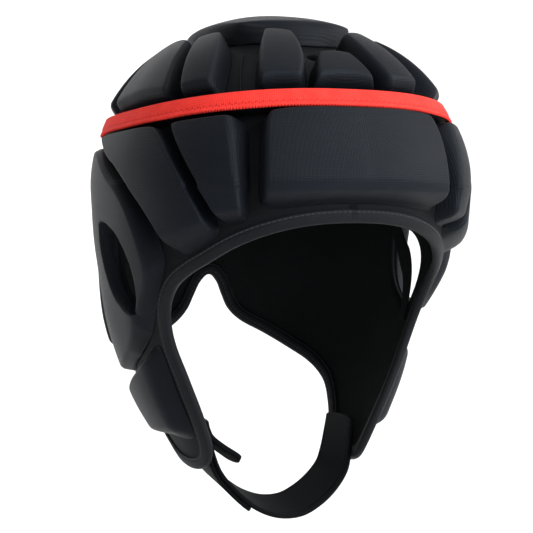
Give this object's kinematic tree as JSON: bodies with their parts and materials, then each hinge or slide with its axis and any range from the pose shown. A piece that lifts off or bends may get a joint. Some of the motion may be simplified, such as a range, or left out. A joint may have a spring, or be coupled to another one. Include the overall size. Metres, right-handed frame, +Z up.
{
  "type": "rugby scrum cap",
  "caption": "Padded rugby scrum cap with ear openings, red tape band, bound face edge and a hook-and-loop chin strap",
  "frame": {"origin": "crown point of the shell's inner face, where the wearer's head touches", "axes": "+Z up from the crown, -Y the way the wearer faces, +X the wearer's left"},
  "size_m": [0.1888, 0.2093, 0.2604],
  "materials": {
    "fabric": "matt stretch knit over foam",
    "lining": "matt brushed lining",
    "binding": "stitched stretch binding",
    "tape": "ribbed elastic tape"
  },
  "bodies": {
    "root": {"shell": "lining", "face_binding": "binding", "tape_bed": "fabric", "tape_band": "tape", "front_pad": "fabric", "temple_pad_L": "fabric", "temple_pad_R": "fabric", "side_pad_L": "fabric", "side_pad_R": "fabric", "cheek_pad_L": "fabric", "cheek_pad_R": "fabric", "back_pad_L": "fabric", "back_pad_R": "fabric", "nape_pad_L": "fabric", "nape_pad_R": "fabric", "crown_front_pad": "fabric", "crown_inner_pad_L": "fabric", "crown_inner_pad_R": "fabric", "crown_side_pad_L": "fabric", "crown_side_pad_R": "fabric", "crown_rear_side_pad_L": "fabric", "crown_rear_side_pad_R": "fabric", "crown_back_side_pad_L": "fabric", "crown_back_side_pad_R": "fabric", "crown_back_pad_L": "fabric", "crown_back_pad_R": "fabric", "crown_top_pad": "fabric", "ear_pad_L": "fabric", "ear_pad_R": "fabric", "ear_bridge_L": "lining", "ear_bridge_R": "lining", "chin_strap": "fabric", "strap_patch": "fabric", "strap_tab": "fabric"}
  },
  "joints": []
}
